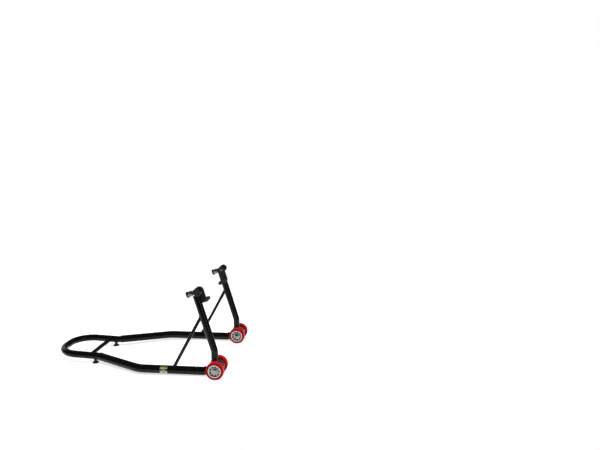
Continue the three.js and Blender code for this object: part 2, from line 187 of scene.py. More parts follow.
def powder_coat():
    """Semi-gloss black powder coat: orange peel, a few dust specks on top, duller underneath."""
    n = Nodes("black_powder_coat")
    n.link(n.ramp(n.tilt(), 0.02, 0.17, -0.85, -0.35), n.shader.inputs["Specular IOR Level"])
    tone = n.mix(n.noise(9), (0.0016, 0.0016, 0.0017), (0.0036, 0.0034, 0.0034))
    grit = n.ramp(n.noise(950, 2), 0, 1, 0.70, 0.74)
    dust = n.math("MULTIPLY", n.upward(), n.math("MULTIPLY", grit, n.ramp(n.noise(38, 5), 0, 0.5, 0.4, 0.7)))
    dusty = n.mix(dust, tone, (0.09, 0.085, 0.08))
    speck = n.ramp(n.noise(420, 2), 0, 0.3, 0.745, 0.765)
    colour = n.mix(speck, dusty, (0.05, 0.048, 0.046))
    rough = n.ramp(n.noise(26, 4), 0.14, 0.24, 0.3, 0.7)
    peel = n.bump(n.noise(620, 2), 0.00008, 0.2)
    return n.finish(colour, rough, n.bump(n.noise(70, 2), 0.0003, 0.08, peel))


def weld_coat():
    """The same powder coat, thicker and softer over the weld beads."""
    n = Nodes("black_powder_coat_weld").set(Specular_IOR_Level=0.2)
    tone = n.mix(n.noise(60), (0.002, 0.002, 0.0022), (0.005, 0.005, 0.005))
    return n.finish(tone, n.ramp(n.noise(140), 0.2, 0.34), n.bump(n.noise(700, 3), 0.00012, 0.3))


def red_polyurethane():
    """Satin red tyre: its sides painted a deep, darker red as painted shade, and clean; the tread band keeps
    the brighter red and is scuffed where it rolls.
    """
    n = Nodes("red_polyurethane").set(Specular_IOR_Level=0.06)
    unshaded_tread_band = n.ramp(n.radial(), 0, 1, 0.93, 0.985)
    # painted shade: the sides get a darker copy of the tread's red, standing in for the shade that falls on
    # them
    side = n.mix(n.noise(60, 3), (0.200, 0.0012, 0.0050), (0.270, 0.0020, 0.0075))
    tread = n.mix(n.noise(75, 4), (0.62, 0.0080, 0.0080), (0.80, 0.0150, 0.0120))
    tone = n.mix(unshaded_tread_band, side, tread)
    scuffs = n.ramp(n.noise(1, 4, n.stretched((180, 60, 180))), 0, 1, 0.54, 0.74)
    worn = n.math("MULTIPLY", n.math("MULTIPLY", unshaded_tread_band, scuffs), 0.3)
    colour = n.mix(worn, tone, (0.20, 0.016, 0.012))
    rough = n.math("ADD", n.ramp(n.noise(140, 3), 0.3, 0.42), n.math("MULTIPLY", worn, 0.35))
    return n.finish(colour, rough, n.bump(n.noise(900, 3), 0.0001, 0.3))


def turned_aluminium():
    """Cast aluminium hub: a grey blasted web with a turned, brighter rim and bearing boss."""
    n = Nodes("turned_aluminium").set(Metallic=1.0, Anisotropic=0.25)
    radial = n.radial()
    rings = n.math("SINE", n.math("MULTIPLY", radial, 420))
    rim = n.ramp(radial, 0, 1, 0.83, 0.86)
    boss = n.ramp(radial, 1, 0, 0.52, 0.55)
    cast = n.mix(n.noise(260, 4), (0.19, 0.195, 0.185), (0.32, 0.325, 0.31))
    turned_tone = n.mix(n.noise(120, 4), (0.46, 0.48, 0.455), (0.60, 0.615, 0.59))
    tone = n.mix(n.math("MAXIMUM", rim, boss), cast, turned_tone)
    grime = n.ramp(n.noise(330, 4), 0, 0.6, 0.56, 0.74)
    colour = n.mix(grime, tone, (0.11, 0.105, 0.10))
    rough = n.ramp(n.noise(300, 3), 0.26, 0.44)
    fine = n.bump(rings, 0.00003, 0.25)
    return n.finish(colour, rough, n.bump(n.noise(1500, 2), 0.00005, 0.25, fine))


def zinc_plate():
    """Bright zinc plate with the faint warm and blue patches of its passivation."""
    n = Nodes("zinc_plate").set(Metallic=1.0)
    warm = n.mix(n.noise(110, 4), (0.22, 0.21, 0.19), (0.33, 0.32, 0.295))
    colour = n.mix(n.ramp(n.noise(60, 2), 0, 0.35, 0.5, 0.75), warm, (0.27, 0.28, 0.30))
    rough = n.ramp(n.noise(340, 4), 0.14, 0.3)
    return n.finish(colour, rough, n.bump(n.noise(800, 3), 0.00005, 0.25))


def ground_steel():
    """Ground bar and bearing steel, brushed round its axis."""
    n = Nodes("ground_steel").set(Metallic=1.0, Anisotropic=0.4)
    lines = n.noise(1, 4, n.stretched((250, 4200, 250)))
    colour = n.mix(n.noise(90, 3), (0.44, 0.45, 0.465), (0.56, 0.57, 0.585))
    return n.finish(colour, n.ramp(lines, 0.2, 0.4), n.bump(lines, 0.00004, 0.3))


def turned_brass():
    n = Nodes("turned_brass").set(Metallic=1.0)
    colour = n.mix(n.noise(200, 3), (0.58, 0.38, 0.13), (0.70, 0.50, 0.21))
    return n.finish(colour, n.ramp(n.noise(500, 3), 0.22, 0.4), n.bump(n.noise(1200), 0.00004, 0.3))


def moulded_rubber():
    """Matt black rubber, a little bloomed, with a fine moulded grain."""
    n = Nodes("moulded_rubber").set(Specular_IOR_Level=0.35, Sheen_Weight=0.08, Sheen_Roughness=0.5)
    tone = n.mix(n.noise(45, 4), (0.009, 0.009, 0.009), (0.02, 0.0195, 0.019))
    dust = n.math("MULTIPLY", n.upward(), n.ramp(n.noise(90, 4), 0, 0.22, 0.4, 0.8))
    colour = n.mix(dust, tone, (0.17, 0.165, 0.155))
    grain = n.bump(n.noise(1100, 3), 0.0002, 0.5)
    return n.finish(colour, n.ramp(n.noise(180, 3), 0.58, 0.8), grain)


def moulded_plastic():
    """Satin black moulded plastic with a spark-eroded grain."""
    n = Nodes("moulded_plastic").set(Specular_IOR_Level=0.5)
    tone = n.mix(n.noise(70, 3), (0.008, 0.008, 0.0085), (0.014, 0.014, 0.0145))
    grain = n.bump(n.noise(1700, 2), 0.0001, 0.45)
    return n.finish(tone, n.ramp(n.noise(200, 3), 0.36, 0.5), grain)


def nylon():
    n = Nodes("nylon_ring").set(Specular_IOR_Level=0.5, Subsurface_Weight=0.1)
    n.set(Subsurface_Radius=(0.001, 0.001, 0.001))
    tone = n.mix(n.noise(150), (0.62, 0.62, 0.58), (0.72, 0.72, 0.68))
    return n.finish(tone, n.ramp(n.noise(300), 0.4, 0.55), n.bump(n.noise(900), 0.00005, 0.3))


def label_film(low, high):
    """Printed film with no words on it: an olive field with a yellow line, plain blocks and bars."""
    n = Nodes("label_film").set(Specular_IOR_Level=0.35)
    split = n.tree.nodes.new("ShaderNodeSeparateXYZ")
    n.link(n.place["Object"], split.inputs[0])
    along = n.ramp(split.outputs["X"], 0, 1, low.x, high.x)
    up = n.ramp(split.outputs["Z"], 0, 1, low.z, high.z)

    def band(value, start, end):
        """1 between start and end."""
        above = n.math("GREATER_THAN", value, start)
        return n.math("MULTIPLY", above, n.math("LESS_THAN", value, end))

    def panel(x0, x1, z0, z1):
        return n.math("MULTIPLY", band(along, x0, x1), band(up, z0, z1))

    olive = n.mix(n.noise(300, 3), (0.045, 0.038, 0.015), (0.085, 0.074, 0.028))
    yellow = n.mix(n.noise(240, 3), (0.42, 0.40, 0.19), (0.55, 0.54, 0.27))
    pale = n.mix(n.noise(420, 4), (0.30, 0.27, 0.26), (0.52, 0.48, 0.46))
    colour = n.mix(panel(0.06, 0.94, 0.76, 0.84), olive, yellow)
    for start, end in ((0.05, 0.27), (0.69, 0.95)):
        colour = n.mix(panel(start, end, 0.14, 0.46), colour, yellow)
    colour = n.mix(panel(0.33, 0.63, 0.12, 0.64), colour, pale)
    for start in (0.24, 0.38, 0.52):
        colour = n.mix(panel(0.36, 0.60, start, start + 0.05), colour, (0.10, 0.09, 0.075))
    colour = n.mix(panel(0.69, 0.86, 0.54, 0.65), colour, (0.02, 0.019, 0.008))
    wear = n.ramp(n.noise(420, 5), 0, 0.35, 0.6, 0.75)
    colour = n.mix(wear, colour, (0.12, 0.11, 0.08))
    return n.finish(colour, n.ramp(n.noise(150, 3), 0.3, 0.5), n.bump(n.noise(500, 2), 0.00005, 0.3))


PAINT = powder_coat()
WELD = weld_coat()
RED = red_polyurethane()
ALUMINIUM = turned_aluminium()
ZINC = zinc_plate()
STEEL = ground_steel()
BRASS = turned_brass()
RUBBER = moulded_rubber()
PLASTIC = moulded_plastic()
NYLON = nylon()
LABEL = label_film(*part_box("label_band"))

# ------------------------------------------------------------------ shape helpers


def loft(rings, wrap=False):
    """A closed skin over rings of points. wrap joins the last ring to the first; else the ends close."""
    bm = bmesh.new()
    rows = [[bm.verts.new(point) for point in ring] for ring in rings]
    pairs = list(zip(rows, rows[1:]))
    if wrap:
        pairs.append((rows[-1], rows[0]))
    else:
        bm.faces.new(rows[0][::-1])
        bm.faces.new(rows[-1])
    for low, high in pairs:
        for i in range(len(low)):
            j = (i + 1) % len(low)
            bm.faces.new((low[i], low[j], high[j], high[i]))
    bmesh.ops.remove_doubles(bm, verts=bm.verts, dist=1e-4)
    loose = [edge for edge in bm.edges if not edge.link_faces]
    bmesh.ops.delete(bm, geom=loose, context="EDGES")
    bmesh.ops.recalc_face_normals(bm, faces=bm.faces)
    return bm


def eased(points, ease, closed=False, steps=3):
    """An outline with each of its corners rounded."""
    sharpest = 2.6
    most_of_side = 0.45
    result = []
    for i, point in enumerate(points):
        corner = Vector(point)
        if not closed and i in (0, len(points) - 1):
            result.append(tuple(corner))
            continue
        into = corner - Vector(points[i - 1])
        out = Vector(points[(i + 1) % len(points)]) - corner
        cut = ease * tan(min(into.angle(out), sharpest) / 2)
        cut = min(cut, most_of_side * into.length, most_of_side * out.length)
        start = corner - into.normalized() * cut
        end = corner + out.normalized() * cut
        for k in range(steps + 1):
            t = k / steps
            result.append(tuple(start * (1 - t) ** 2 + corner * 2 * t * (1 - t) + end * t ** 2))
    return result


def spokes(axis):
    """Two directions square to an axis and to each other."""
    spoke = axis.orthogonal().normalized()
    return spoke, axis.cross(spoke)


def ring(centre, spoke, other, radius, count):
    angles = [2 * pi * i / count for i in range(count)]
    return [centre + (spoke * cos(a) + other * sin(a)) * radius for a in angles]


def circle(centre, axis, radius, count):
    return ring(centre, *spokes(axis.normalized()), radius, count)


def turned(profile, base, axis, sides=96):
    """A body of revolution. Each profile entry is (radius, height) or a function of the angle.

    A profile that starts on the axis ends there too; any other is a closed ring.
    """
    axis = axis.normalized()
    spoke, other = spokes(axis)
    rings = []
    for entry in profile:
        row = []
        for i in range(sides):
            angle = 2 * pi * i / sides
            radius, height = entry(angle) if callable(entry) else entry
            row.append(base + axis * height + (spoke * cos(angle) + other * sin(angle)) * radius)
        rings.append(row)
    on_axis = not callable(profile[0]) and profile[0][0] == 0
    return loft(rings, wrap=not on_axis)


def cylinder(radius, start, end, base, axis, sides=96):
    return turned([(0, start), (radius, start), (radius, end), (0, end)], base, axis, sides)


def hex_radius(flats, angle):
    return flats / 2 / cos((angle + pi / 6) % (pi / 3) - pi / 6)


def hex_side(flats, end, inward):
    """Profile entry: the edge where a hexagon's side meets its chamfered end face."""
    def entry(angle):
        radius = hex_radius(flats, angle)
        return radius, end + inward * (radius - flats * HEX_FACE) * tan(radians(30))
    return entry


def thread(radius, start, end, pitch, depth):
    """Profile entries of a screw thread from one height to another, running out at both ends."""
    def entry(height):
        def at(angle):
            phase = (height / pitch - angle / (2 * pi)) % 1
            runout = min(1, (height - start) / pitch, (end - height) / pitch)
            return radius - depth * runout * abs(2 * phase - 1), height
        return at
    count = ceil((end - start) / pitch * 8)
    return [entry(start + (end - start) * i / count) for i in range(count + 1)]


def stations(corners, step=radians(3)):
    """(point, direction) along a bent tube: corners are (point, bend radius), arcs take small steps."""
    result = []
    for i, (corner, bend) in enumerate(corners):
        into = (corner - corners[i - 1][0]).normalized() if i else None
        out = (corners[i + 1][0] - corner).normalized() if i + 1 < len(corners) else None
        if into is None or out is None:
            result.append((corner, into or out))
            continue
        angle = into.angle(out)
        axis = into.cross(out).normalized()
        start = corner - into * bend * tan(angle / 2)
        centre = start + axis.cross(into) * bend
        count = ceil(angle / step)
        for k in range(count + 1):
            turn = Quaternion(axis, angle * k / count)
            result.append((centre + turn @ (start - centre), turn @ into))
    return result


def rings_along(route, radius, sides):
    """Circles round a route's stations, turned with it and never twisted."""
    last = route[0][1]
    side = last.orthogonal().normalized()
    rings = []
    for point, way in route:
        side = last.rotation_difference(way) @ side
        last = way
        rings.append(ring(point, side, way.cross(side), radius, sides))
    return rings


def tube(route, size):
    """A hollow tube, open at both ends."""
    outer = rings_along(route, size["radius"], size["sides"])
    inner = rings_along(route, size["bore"], size["sides"])
    return loft(outer + inner[::-1], wrap=True)


def skin_of(route, size):
    """A tube's outside, to cast lines at."""
    return BVHTree.FromBMesh(loft(rings_along(route, size["radius"], size["sides"])))


def strike(surface, points, way):
    """Where lines from the points along a direction first meet a surface; a miss is left out."""
    hits = [surface.ray_cast(point, way.normalized())[0] for point in points]
    return [hit for hit in hits if hit is not None]


def object_of(name, bm):
    mesh = bpy.data.meshes.new(name)
    bm.to_mesh(mesh)
    bm.free()
    made = bpy.data.objects.new(name, mesh)
    bpy.context.scene.collection.objects.link(made)
    return made


def cut_from(bm, *others):
    """Cuts the other shapes from the first."""
    base = object_of("base", bm)
    tools = [object_of("tool", other) for other in others]
    for tool in tools:
        modifier = base.modifiers.new("cut", "BOOLEAN")
        modifier.operation = "DIFFERENCE"
        modifier.solver = "EXACT"
        modifier.object = tool
    bpy.context.view_layer.update()
    evaluated = base.evaluated_get(bpy.context.evaluated_depsgraph_get())
    result = bmesh.new()
    result.from_mesh(evaluated.to_mesh())
    evaluated.to_mesh_clear()
    for made in [base, *tools]:
        mesh = made.data
        bpy.data.objects.remove(made)
        bpy.data.meshes.remove(mesh)
    return result


def piece(name, bm, material, body="frame", replaces=(), crease=30):
    """Makes a named piece of the stand from a shape in the design's millimetres."""
    bmesh.ops.transform(bm, matrix=TO_FRAME, verts=bm.verts)
    for face in bm.faces:
        face.smooth = True
    for edge in bm.edges:
        edge.smooth = len(edge.link_faces) == 2 and edge.calc_face_angle(0) < radians(crease)
    made = object_of(name, bm)
    made.data.materials.append(material)
    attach(made, body)
    if replaces:
        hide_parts(*replaces)


def spaced(path, step):
    """Points at even steps round a closed path, and the path's length."""
    points = [*path, path[0]]
    lengths = [0.0]
    for before, after in zip(points, points[1:]):
        lengths.append(lengths[-1] + (after - before).length)
    total = lengths[-1]
    count = max(8, round(total / step))
    even = []
    at = 0
    for i in range(count):
        wanted = total * i / count
        while at < len(lengths) - 2 and lengths[at + 1] < wanted:
            at += 1
        share = (wanted - lengths[at]) / max(lengths[at + 1] - lengths[at], 1e-9)
        even.append(points[at].lerp(points[at + 1], share))
    return even, total


def weld(name, path, size, seed):
    """A weld bead round a closed path, with the overlapping ripples that the torch leaves."""
    even, total = spaced(path, WELD_BEAD["step"])
    count = len(even)
    centre = sum(even, Vector()) / count
    rings = []
    for i, point in enumerate(even):
        way = (even[(i + 1) % count] - even[i - 1]).normalized()
        out = point - centre
        out = (out - way * out.dot(way)).normalized()
        phase = (total * i / count / WELD_BEAD["pitch"]) % 1
        ripple = 0.86 + 0.2 * phase ** 0.6 * (1 - phase ** 8)
        wander = 1 + 0.12 * noise(point * 0.11 + Vector((seed, 0, 0)))
        rings.append(ring(point, out, way.cross(out), size * ripple * wander, WELD_BEAD["sides"]))
    piece(name, loft(rings, wrap=True), WELD, crease=60)


def opened(run):
    """A run of points listed round a circle, starting after its widest gap."""
    gaps = [(run[(i + 1) % len(run)] - run[i]).length for i in range(len(run))]
    cut = gaps.index(max(gaps)) + 1
    return run[cut:] + run[:cut]


# ------------------------------------------------------------------ frame tubes


def run_rear(side):
    return Vector((RUN_REAR["x"], side * TRACK, RUN_REAR["z"]))


def run_point(side, x):
    """A point of the low run's straight centreline, by its X."""
    front = Vector((RUN_FRONT["x"], side * TRACK, RUN_FRONT["z"]))
    way = front - run_rear(side)
    return run_rear(side) + way * ((x - RUN_REAR["x"]) / way.x)


def handle_height(x):
    return HANDLE["corner_z"] + HANDLE["rise"] * (HANDLE["corner_x"] - x)


def handle_corner(side):
    return Vector((HANDLE["corner_x"], side * HANDLE["half"], HANDLE["corner_z"]))


def flare_point(side, distance):
    way = (run_rear(side) - handle_corner(side)).normalized()
    return handle_corner(side) + way * distance


def side_route(side):
    reach = UPRIGHT["bend"] * tan(RUN_FRONT["nose"] / 2)
    corner = run_point(side, BEND_START_X + reach)
    nose = Vector((cos(RUN_FRONT["nose"]), 0, sin(RUN_FRONT["nose"])))
    return stations([
        (flare_point(side, SOCKET["start"]), 0),
        (run_rear(side), RUN_REAR["bend"]),
        (corner, UPRIGHT["bend"]),
        (corner + nose * (reach + 1), 0),
    ])


def lean_way():
    return Vector((-sin(UPRIGHT["lean"]), 0, cos(UPRIGHT["lean"])))


def upright_route(side, trim=0):
    front = Vector((RUN_FRONT["x"], side * TRACK, RUN_FRONT["z"]))
    lean_at = Vector((RUN_FRONT["x"], side * TRACK, UPRIGHT["lean_z"]))
    length = (UPRIGHT["top_z"] - UPRIGHT["lean_z"]) / cos(UPRIGHT["lean"]) - trim
    return stations([
        (run_point(side, BEND_START_X - UPRIGHT["insert"]), 0),
        (front, UPRIGHT["bend"]),
        (lean_at, UPRIGHT["lean_bend"]),
        (lean_at + lean_way() * length, 0),
    ])


def handle_route():
    reach = SOCKET["start"] + SOCKET["depth"]
    corners = [(flare_point(-1, reach), 0), (handle_corner(-1), HANDLE["bend"])]
    for side in (-1, 1):
        rear = Vector((HANDLE["rear_x"], side * HANDLE["half"], handle_height(HANDLE["rear_x"])))
        corners.append((rear, HANDLE["rear_bend"]))
    corners += [(handle_corner(1), HANDLE["bend"]), (flare_point(1, reach), 0)]
    return stations(corners)


HANDLE_SURFACE = skin_of(handle_route(), HANDLE_TUBE)


def coped(middle_point, way, radius, surfaces, sides=48, bore=0):
    """A round bar or tube between two surfaces, each end cut to the shape of what it meets."""
    rails = circle(middle_point, way, radius, sides)
    low = strike(surfaces[0], rails, -way)
    high = strike(surfaces[1], rails, way)
    if bore:
        inner = circle(middle_point, way, bore, sides)
        inner_low = strike(surfaces[0], inner, -way)
        inner_high = strike(surfaces[1], inner, way)
        return loft([low, high, inner_high, inner_low], wrap=True), low, high
    tip_low = strike(surfaces[0], [middle_point], -way) * sides
    tip_high = strike(surfaces[1], [middle_point], way) * sides
    return loft([tip_low, low, high, tip_high]), low, high


def make_upright(name, side):
    """The upright: open at its foot, capped at its top, notched for the axle boss and the arm sleeve."""
    sides = UPRIGHT_TUBE["sides"]
    outer = rings_along(upright_route(side), UPRIGHT_TUBE["radius"], sides)
    inner = rings_along(upright_route(side, UPRIGHT_TUBE["end_wall"]), UPRIGHT_TUBE["bore"], sides)
    top = sum(outer[-1], Vector()) / sides
    ceiling = sum(inner[-1], Vector()) / sides
    shape = loft(outer + [[top] * sides, [ceiling] * sides] + inner[::-1], wrap=True)
    cutters = []
    for node, radius in (("axle_boss", AXLE["boss"]), ("arm_sleeve", SLEEVE["radius"])):
        cutters.append(cylinder(radius + GAP, -30, 30, middle(f"{node}_{name}"), AXIS_Y))
    piece(f"upright_tube_{name}", cut_from(shape, *cutters), PAINT, replaces=[f"upright_{name}"])


def make_brace(name, side, run, upright):
    foot = Vector((BRACE["foot"][0], side * TRACK, BRACE["foot"][1]))
    head = Vector((BRACE["head"][0], side * TRACK, BRACE["head"][1]))
    way = (head - foot).normalized()
    shape, low, high = coped((foot + head) / 2, way, BRACE["radius"], (run, upright))
    piece(f"brace_bar_{name}", shape, PAINT, replaces=[f"brace_{name}"])
    weld(f"weld_brace_foot_{name}", low, 1.9, side)
    weld(f"weld_brace_head_{name}", high, 1.9, side + 3)


def make_foot(name, side):
    """A stem welded under the handle, with a rubber mushroom foot pushed on."""
    low, high = node_box(f"foot_stem_{name}")
    at = middle(f"foot_stem_{name}")
    radius = (high.x - low.x) / 2
    sides = 48
    rails = circle(Vector((at.x, at.y, low.z + 1)), AXIS_Z, radius, sides)
    rim = circle(Vector((at.x, at.y, low.z)), AXIS_Z, radius - 1, sides)
    top = strike(HANDLE_SURFACE, rails, AXIS_Z)
    tip = strike(HANDLE_SURFACE, [at], AXIS_Z) * sides
    shape = loft([rim, rails, top, tip])
    piece(f"foot_post_{name}", shape, PAINT, replaces=[f"foot_stem_{name}"])
    weld(f"weld_foot_{name}", top, 1.7, side + 5)
    pad_low, pad_high = node_box(f"foot_pad_{name}")
    pad = (pad_high.x - pad_low.x) / 2
    height = pad_high.z
    hole = radius + GAP
    base = Vector((at.x, at.y, 0))
    profile = [
        (0, 0.6), (3, 0.6), (3.6, 0), (pad - 1.2, 0), (pad, 1.2), (pad, 3.2), (pad - 1.8, 5),
        (hole + 2.6, 6.2), (hole + 2.2, height), (hole, height), (hole, low.z - GAP), (0, low.z - GAP),
    ]
    shape = turned(eased(profile, 0.7), base, AXIS_Z, 72)
    piece(f"foot_rubber_{name}", shape, RUBBER, replaces=[f"foot_pad_{name}"])


def make_boss(name, side, upright):
    low, high = node_box(f"axle_boss_{name}")
    at = middle(f"axle_boss_{name}")
    half = (high.y - low.y) / 2
    radius = (high.x - low.x) / 2
    bore = AXLE["bore"]
    profile = [(bore, -half), (radius, -half), (radius, half), (bore, half)]
    shape = turned(eased(profile, 0.9, closed=True), at, AXIS_Y)
    piece(f"axle_tube_{name}", shape, PAINT, replaces=[f"axle_boss_{name}"])
    seam = []
    for way in (AXIS_Y, -AXIS_Y):
        seam.append(strike(upright, circle(at - way * 30, AXIS_Y, radius, 96), way))
    weld(f"weld_boss_{name}", joined_loop(*seam), 2.2, side + 7)


def joined_loop(first, second):
    """Two open runs of points, each listed round a circle, as one loop."""
    first, second = opened(first), opened(second)
    if (first[-1] - second[0]).length > (first[-1] - second[-1]).length:
        second = second[::-1]
    return first + second


def make_frame():
    middle_rear = Vector((CROSS_TUBE["x"], 0, handle_height(CROSS_TUBE["x"])))
    shape = tube(handle_route(), HANDLE_TUBE)
    piece("handle_bar", shape, PAINT, replaces=["handle_tube"])
    shape, low, high = coped(
        middle_rear, AXIS_Y, CROSS_TUBE["radius"], (HANDLE_SURFACE, HANDLE_SURFACE), bore=CROSS_TUBE["bore"]
    )
    piece("cross_bar", shape, PAINT, replaces=["cross_tube"])
    weld("weld_cross_right", low, 2.1, 11)
    weld("weld_cross_left", high, 2.1, 13)
    for name, side in SIDES.items():
        route = side_route(side)
        piece(f"side_rail_{name}", tube(route, SIDE_TUBE), PAINT, replaces=[f"side_tube_{name}"])
        make_upright(name, side)
        upright = skin_of(upright_route(side), UPRIGHT_TUBE)
        make_brace(name, side, skin_of(route, SIDE_TUBE), upright)
        make_foot(name, side)
        make_boss(name, side, upright)
        lap = (HANDLE_TUBE["radius"] + SIDE_TUBE["radius"]) / 2
        weld(f"weld_rear_{name}", circle(*route[0], lap, 90), 2.0, side + 17)
        lap = (UPRIGHT_TUBE["radius"] + SIDE_TUBE["radius"]) / 2
        weld(f"weld_nose_{name}", circle(*route[-1], lap, 90), 2.2, side + 19)


def make_label():
    low, high = node_box("label_band")
    rear = run_point(-1, low.x + 1)
    front = run_point(-1, high.x - 1)
    skin = SIDE_TUBE["radius"] + 0.12
    outside = skin + 0.22
    length = (front - rear).length
    profile = [(skin, 0), (outside, 0), (outside, length), (skin, length)]
    shape = turned(profile, rear, front - rear)
    piece("label_wrap", shape, LABEL, replaces=["label_band"])


# ------------------------------------------------------------------ wheels and axles

WHEEL = {"half": 12.5, "hub": 27, "bearing": 12, "face": 8, "web": 6.5}
HOLES = {"count": 9, "circle": 18.3, "radius": 3.1}


def tyre_shape():
    half = WHEEL["half"]
    inner = WHEEL["hub"] + GAP
    profile = [
        (inner, 0.4 - half), (31, 0.2 - half), (34.4, -half), (36.7, 1.7 - half), (37.3, 5 - half), (37.5, 0),
        (37.3, half - 5), (36.7, half - 1.7), (34.4, half), (31, half - 0.2), (inner, half - 0.4),
    ]
    return turned(eased(profile, 2.2, closed=True, steps=5), Vector(), AXIS_Y, 144)


def hub_shape():
    """Rim, drilled web and bearing boss, with a small chamfer at each drilled hole."""
    rim = WHEEL["half"] - 0.5
    seat = WHEEL["bearing"] + 0.1
    hub = WHEEL["hub"]
    profile = [(seat, -WHEEL["face"])]
    for end in (-1, 1):
        half = [
            (14.2, end * WHEEL["face"]), (15, end * WHEEL["web"]), (21.6, end * WHEEL["web"]),
            (23, end * rim), (hub, end * rim),
        ]
        profile += half if end < 0 else half[::-1]
    profile.append((seat, WHEEL["face"]))
    body = turned(eased(profile, 0.8, closed=True), Vector(), AXIS_Y, 144)
    drills = []
    for i in range(HOLES["count"]):
        angle = 2 * pi * i / HOLES["count"]
        at = Vector((cos(angle), 0, sin(angle))) * HOLES["circle"]
        web, hole = WHEEL["web"], HOLES["radius"]
        drill = [(0, -web - 1), (hole + 1.4, -web - 1), (hole, -web + 0.4)]
        drill += [(radius, -height) for radius, height in drill[::-1]]
        drills.append(turned(drill, at, AXIS_Y, 40))
    return cut_from(body, *drills)


def bearing_shape():
    """Outer race, recessed shield and inner race."""
    side = [(AXLE["bore"], -3), (8.2, -3), (8.4, -2.5), (10.5, -2.4), (10.7, -3), (WHEEL["bearing"], -3)]
    profile = side + [(radius, -height) for radius, height in side[::-1]]
    return turned(eased(profile, 0.3, closed=True), Vector(), AXIS_Y)


def put(shape, at):
    """A copy of a shape made round the origin, moved to a place."""
    copy = shape.copy()
    bmesh.ops.translate(copy, vec=at, verts=copy.verts)
    return copy


def make_wheels():
    tyre, hub, bearing = tyre_shape(), hub_shape(), bearing_shape()
    for name in SIDES:
        for place in ("outer", "inner"):
            end = f"{name}_{place}"
            body = f"wheel_{end}"
            at = middle(f"tyre_{end}")
            piece(f"tread_{end}", put(tyre, at), RED, body, [f"tyre_{end}"])
            piece(f"rim_{end}", put(hub, at), ALUMINIUM, body, [f"hub_{end}"])
            for letter in "ab":
                node = f"bearing_{end}_{letter}"
                piece(f"race_{end}_{letter}", put(bearing, middle(node)), STEEL, body, [node])


def make_axle(name, side):
    """Flanged hex bolt, two spacers and a self-locking nut."""
    out = Vector((0, side, 0))
    centre = Vector((0, 0, middle(f"axle_bolt_{name}").z))
    tip, reach = span(f"axle_bolt_{name}")
    seat = reach - AXLE["head"]
    flats = AXLE["flats"]
    face_edge = flats * HEX_FACE
    bolt = [(0, tip), (4.9, tip), *thread(5.95, tip + 0.4, tip + 26, 1.75, 0.95)]
    bolt += [(6, tip + 27), (6, seat), (10.4, seat), (11, seat + 0.6), (10.8, seat + 1.2)]
    bolt += [(9.6, seat + 1.9), lambda angle: (hex_radius(flats, angle) * 0.985, seat + 2.3)]
    bolt += [hex_side(flats, reach, -1), (face_edge, reach), (flats * 0.36, reach)]
    bolt += [(flats * 0.34, reach - 0.5), (0, reach - 0.5)]
    piece(f"axle_screw_{name}", turned(bolt, centre, out), ZINC, replaces=[f"axle_bolt_{name}"])
    inner, outer = span(f"axle_nut_{name}")
    bore = 6.4
    face = inner + 2.5
    nut = [(bore, outer), (face_edge, outer), hex_side(flats, outer, -1), hex_side(flats, face, 1)]
    nut += [(face_edge, face), (8, face - 0.2), (7.9, inner + 0.8), (7.1, inner), (6.9, inner + 0.5)]
    nut += [(6.9, inner + 2), (bore, inner + 2.2)]
    piece(f"lock_nut_axle_{name}", turned(nut, centre, out), ZINC, replaces=[f"axle_nut_{name}"])
    low, high = inner + 0.7, inner + 1.9
    section = eased([(6.15, low), (6.8, low), (6.8, high), (6.15, high)], 0.2, closed=True)
    piece(f"nylon_ring_{name}", turned(section, centre, out), NYLON)
    bore = AXLE["bore"]
    for place in ("outer", "inner"):
        node = f"axle_spacer_{name}_{place}"
        low, high = node_box(node)
        half = (high.y - low.y) / 2
        section = eased([(bore, -half), (8.5, -half), (8.5, half), (bore, half)], 0.5, closed=True)
        piece(f"spacer_{name}_{place}", turned(section, middle(node), AXIS_Y), ZINC, replaces=[node])


# ------------------------------------------------------------------ support arms

BRACKET = {
    "outer": 187.5, "inner": 130, "thick": 6, "half": 14, "dx": -2, "dz": -4, "leg_drop": 50, "bend": 9,
    "ribs": 7, "rib_depth": 0.9,
}
BOOT_WALL = 3
LOCK = {"slope": radians(21), "y": 206, "flats": 17, "head": 26.5, "back": 46.5, "end": 52, "stud": 3}


def arm_point(name, y=0):
    """The point of an arm's axis at one distance from the stand's middle plane."""
    at = middle(f"arm_sleeve_{name}")
    at.y = y
    return at


def sleeve_bar(name, radius, reach=40):
    """A solid bar round the middle of an arm's sleeve, to cut or to cast lines at."""
    return cylinder(radius, -reach, reach, middle(f"arm_sleeve_{name}"), AXIS_Y)


def rounded_bar(half, above, below, ease):
    """A rectangular section with round corners, in (across, normal) coordinates."""
    points = 6
    ease = min(ease, half * 0.98, above * 0.98, below * 0.98)
    section = []
    corners = ((half, above, 0), (-half, above, 1), (-half, -below, 2), (half, -below, 3))
    for x, n, turn in corners:
        centre = Vector((x - ease * (1 if x > 0 else -1), n - ease * (1 if n > 0 else -1)))
        for k in range(points):
            angle = pi / 2 * (turn + k / (points - 1))
            section.append((centre.x + ease * cos(angle), centre.y + ease * sin(angle)))
    return section


